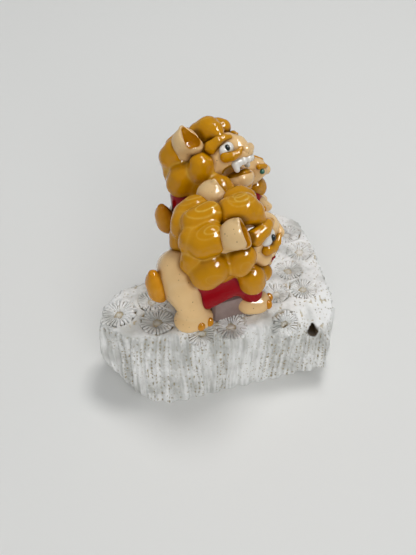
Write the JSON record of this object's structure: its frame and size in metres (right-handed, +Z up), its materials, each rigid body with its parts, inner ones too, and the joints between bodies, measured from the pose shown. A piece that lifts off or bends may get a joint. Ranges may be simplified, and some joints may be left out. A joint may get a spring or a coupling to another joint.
{
  "type": "guardian lion statue",
  "caption": "Guardian lion figures in glazed pottery with a cub, standing on a broken block of fossil star coral that rests flat on a shelf.",
  "frame": {"origin": "under the middle of the whole piece, on the surface it rests on", "axes": "+X where the lions look, along the block's length; +Z up; -Y the side nearest the camera"},
  "size_m": [0.077, 0.0627, 0.0714],
  "materials": {
    "fossil_coral": "chalky, pitted, matt",
    "bisque_clay": "unglazed, matt",
    "red_glaze": "gloss red glaze",
    "mustard_glaze": "gloss mustard glaze, paler on the ridges and darker where it pools",
    "amber_glaze": "gloss amber glaze",
    "cream_glaze": "gloss cream glaze",
    "white_glaze": "gloss white glaze",
    "ink_glaze": "gloss dark glaze dot",
    "green_glaze": "gloss green glaze dot"
  },
  "bodies": {
    "root": {"coral_block": "fossil_coral", "near_pad": "bisque_clay", "near_trunk": "red_glaze", "near_hindquarters": "cream_glaze", "near_forepaws": "cream_glaze", "near_tail": "amber_glaze", "near_claws": "amber_glaze", "near_head": "cream_glaze", "near_mane": "mustard_glaze", "near_crest": "mustard_glaze", "near_ear_left": "cream_glaze", "near_ear_right": "cream_glaze", "near_brows": "mustard_glaze", "near_eyes": "white_glaze", "near_pupils": "ink_glaze", "near_whisker_curls": "mustard_glaze", "near_nose": "cream_glaze", "near_lips": "red_glaze", "rear_pad": "bisque_clay", "rear_trunk": "red_glaze", "rear_hindquarters": "cream_glaze", "rear_forepaws": "cream_glaze", "rear_tail": "amber_glaze", "rear_claws": "amber_glaze", "rear_head": "cream_glaze", "rear_lower_jaw": "cream_glaze", "rear_mane": "mustard_glaze", "rear_crest": "mustard_glaze", "rear_ear_left": "cream_glaze", "rear_ear_right": "cream_glaze", "rear_brows": "mustard_glaze", "rear_eyes": "white_glaze", "rear_pupils": "ink_glaze", "rear_whisker_curls": "mustard_glaze", "rear_nose": "cream_glaze", "rear_teeth": "white_glaze", "rear_tongue": "mustard_glaze", "cub_body": "red_glaze", "cub_haunches": "cream_glaze", "cub_paws": "cream_glaze", "cub_head": "cream_glaze", "cub_mane": "mustard_glaze", "cub_ears": "cream_glaze", "cub_brows": "mustard_glaze", "cub_eyes": "green_glaze", "cub_tail": "amber_glaze"}
  },
  "joints": []
}
